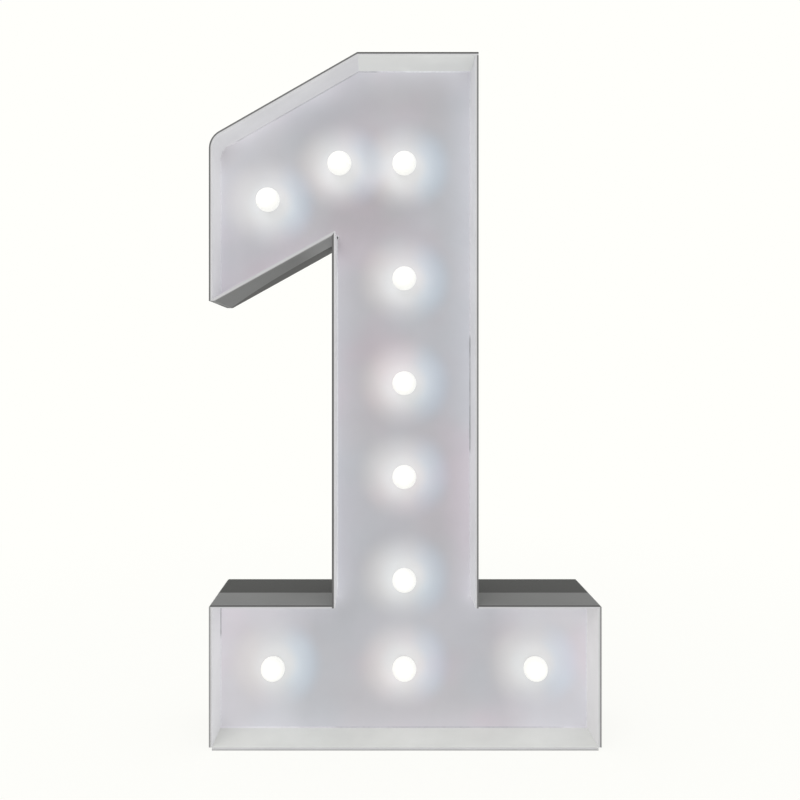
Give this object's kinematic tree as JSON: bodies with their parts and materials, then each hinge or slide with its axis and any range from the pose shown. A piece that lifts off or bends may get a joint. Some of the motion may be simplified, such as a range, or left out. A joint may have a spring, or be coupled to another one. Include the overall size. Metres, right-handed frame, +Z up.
{
  "type": "light-up marquee number",
  "caption": "Free-standing light-up numeral one: a deep white board tray with frosted globe bulbs on a recessed face panel, and a battery unit with a switch in its back.",
  "frame": {"origin": "on the floor, below the middle of the foot's width and of the case's depth", "axes": "+Z up, -Y out of the lit front, +X to the right as the number is read"},
  "size_m": [0.514, 0.12, 0.914],
  "materials": {
    "case_board": "satin white foam PVC board",
    "face_board": "satin white foam PVC board",
    "back_board": "satin white foam PVC board",
    "post_wood": "sawn softwood",
    "screw_steel": "zinc plated steel",
    "holder_plastic": "moulded white plastic",
    "globe_frosted": "frosted translucent plastic",
    "led_board": "white-masked aluminium board",
    "led_chip": "yellow phosphor",
    "lead_sheath": "white flat twin sheath",
    "unit_plastic": "moulded white plastic",
    "pin_steel": "drawn steel wire",
    "cell_jacket": "dark shrink sleeve",
    "contact_metal": "nickel-plated spring steel",
    "switch_black": "moulded black plastic"
  },
  "bodies": {
    "case": {"back_panel": "back_board", "back_screws": "screw_steel", "battery_cells": "cell_jacket", "battery_tub": "unit_plastic", "bottom_wall": "case_board", "contact_leaves": "contact_metal", "contact_plates": "contact_metal", "face_panel": "face_board", "hinge_pin": "pin_steel", "hook_under_wall": "case_board", "lamp_holder_01": "holder_plastic", "lamp_holder_02": "holder_plastic", "lamp_holder_03": "holder_plastic", "lamp_holder_04": "holder_plastic", "lamp_holder_05": "holder_plastic", "lamp_holder_06": "holder_plastic", "lamp_holder_07": "holder_plastic", "lamp_holder_08": "holder_plastic", "lamp_holder_09": "holder_plastic", "lamp_holder_10": "holder_plastic", "lead_string": "lead_sheath", "led_boards": "led_board", "led_chips": "led_chip", "left_foot_end_wall": "case_board", "left_foot_top_wall": "case_board", "panel_posts": "post_wood", "right_foot_end_wall": "case_board", "right_foot_top_wall": "case_board", "shoulder_wall": "case_board", "stem_left_wall": "case_board", "stem_right_wall": "case_board", "switch_body": "switch_black", "top_wall": "case_board", "unit_screws": "screw_steel"},
    "globe_01": {"bulb_globe_01": "globe_frosted"},
    "globe_02": {"bulb_globe_02": "globe_frosted"},
    "globe_03": {"bulb_globe_03": "globe_frosted"},
    "globe_04": {"bulb_globe_04": "globe_frosted"},
    "globe_05": {"bulb_globe_05": "globe_frosted"},
    "globe_06": {"bulb_globe_06": "globe_frosted"},
    "globe_07": {"bulb_globe_07": "globe_frosted"},
    "globe_08": {"bulb_globe_08": "globe_frosted"},
    "globe_09": {"bulb_globe_09": "globe_frosted"},
    "globe_10": {"bulb_globe_10": "globe_frosted"},
    "door": {"battery_door": "unit_plastic"},
    "slider": {"switch_slider": "switch_black"}
  },
  "joints": [
    {"name": "globe_01_twist", "type": "hinge", "parent": "case", "child": "globe_01", "pos_m": [-0.178, -0.006, 0.09301], "axis": [0, -1, 0], "range_deg": [0, 60]},
    {"name": "globe_02_twist", "type": "hinge", "parent": "case", "child": "globe_02", "pos_m": [0, -0.006, 0.09301], "axis": [0, -1, 0], "range_deg": [0, 60]},
    {"name": "globe_03_twist", "type": "hinge", "parent": "case", "child": "globe_03", "pos_m": [0.178, -0.006, 0.09301], "axis": [0, -1, 0], "range_deg": [0, 60]},
    {"name": "globe_04_twist", "type": "hinge", "parent": "case", "child": "globe_04", "pos_m": [0, -0.006, 0.21296], "axis": [0, -1, 0], "range_deg": [0, 60]},
    {"name": "globe_05_twist", "type": "hinge", "parent": "case", "child": "globe_05", "pos_m": [0, -0.006, 0.35299], "axis": [0, -1, 0], "range_deg": [0, 60]},
    {"name": "globe_06_twist", "type": "hinge", "parent": "case", "child": "globe_06", "pos_m": [0, -0.006, 0.48003], "axis": [0, -1, 0], "range_deg": [0, 60]},
    {"name": "globe_07_twist", "type": "hinge", "parent": "case", "child": "globe_07", "pos_m": [0, -0.006, 0.62198], "axis": [0, -1, 0], "range_deg": [0, 60]},
    {"name": "globe_08_twist", "type": "hinge", "parent": "case", "child": "globe_08", "pos_m": [0, -0.006, 0.778], "axis": [0, -1, 0], "range_deg": [0, 60]},
    {"name": "globe_09_twist", "type": "hinge", "parent": "case", "child": "globe_09", "pos_m": [-0.088, -0.006, 0.778], "axis": [0, -1, 0], "range_deg": [0, 60]},
    {"name": "globe_10_twist", "type": "hinge", "parent": "case", "child": "globe_10", "pos_m": [-0.18499, -0.006, 0.7285], "axis": [0, -1, 0], "range_deg": [0, 60]},
    {"name": "battery_door_hinge", "type": "hinge", "parent": "case", "child": "door", "pos_m": [0.079, 0.0559, 0.0631], "axis": [-1, 0, 0], "range_deg": [0, 170]},
    {"name": "switch_slide", "type": "slide", "parent": "case", "child": "slider", "axis": [0, 0, -1], "range_m": [0, 0.004]}
  ]
}
